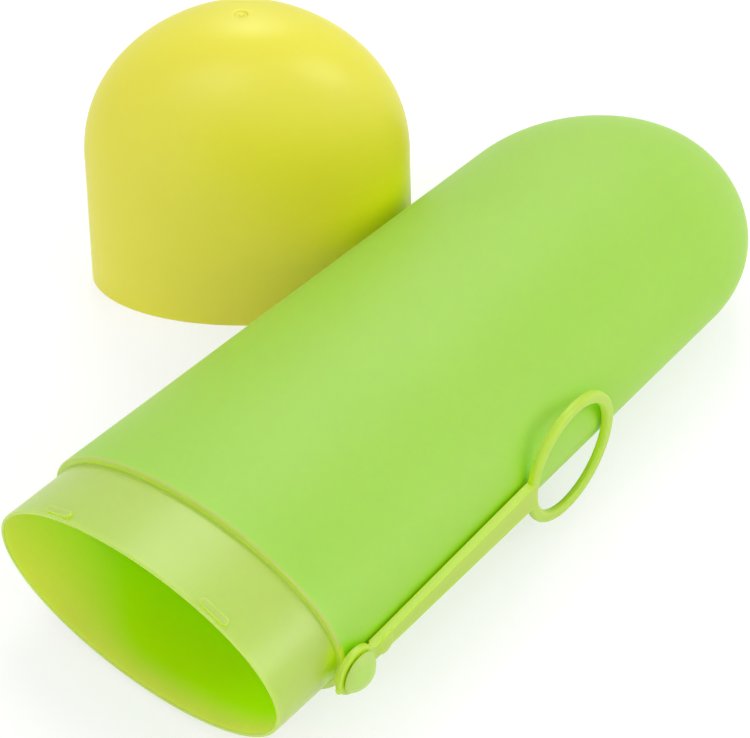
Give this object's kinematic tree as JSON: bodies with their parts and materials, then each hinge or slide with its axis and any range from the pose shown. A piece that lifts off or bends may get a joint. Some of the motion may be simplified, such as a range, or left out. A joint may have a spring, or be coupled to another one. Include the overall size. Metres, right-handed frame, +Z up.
{
  "type": "toothbrush case",
  "caption": "Oval travel toothbrush case of moulded plastic with a domed end and stepped neck, a domed push-on cap taken off beside it, and a swivelling strap with a hanging ring.",
  "frame": {"origin": "on the table, under the middle of the set: the lying case with its strap and the cap that stands beside it", "axes": "+Z up, +X along the case from its mouth to its domed end, -Y towards the strap's side and +Y towards the cap"},
  "size_m": [0.1574, 0.121, 0.0606],
  "materials": {
    "case": "fine satin, slightly translucent green",
    "cap": "fine satin, slightly translucent yellow",
    "strap": "smooth satin green"
  },
  "bodies": {
    "case": {"case_body": "case"},
    "cap": {"cap": "cap"},
    "strap": {"strap": "strap"}
  },
  "joints": [
    {"name": "strap_swivel", "type": "hinge", "parent": "case", "child": "strap", "pos_m": [-0.0638, -0.05603, 0.0173], "axis": [0.0217, -0.9998, 0], "continuous": true},
    {"name": "cap_lift", "type": "slide", "parent": "case", "child": "cap", "axis": [0, 0, 1], "range_m": [0, 0.08]}
  ]
}
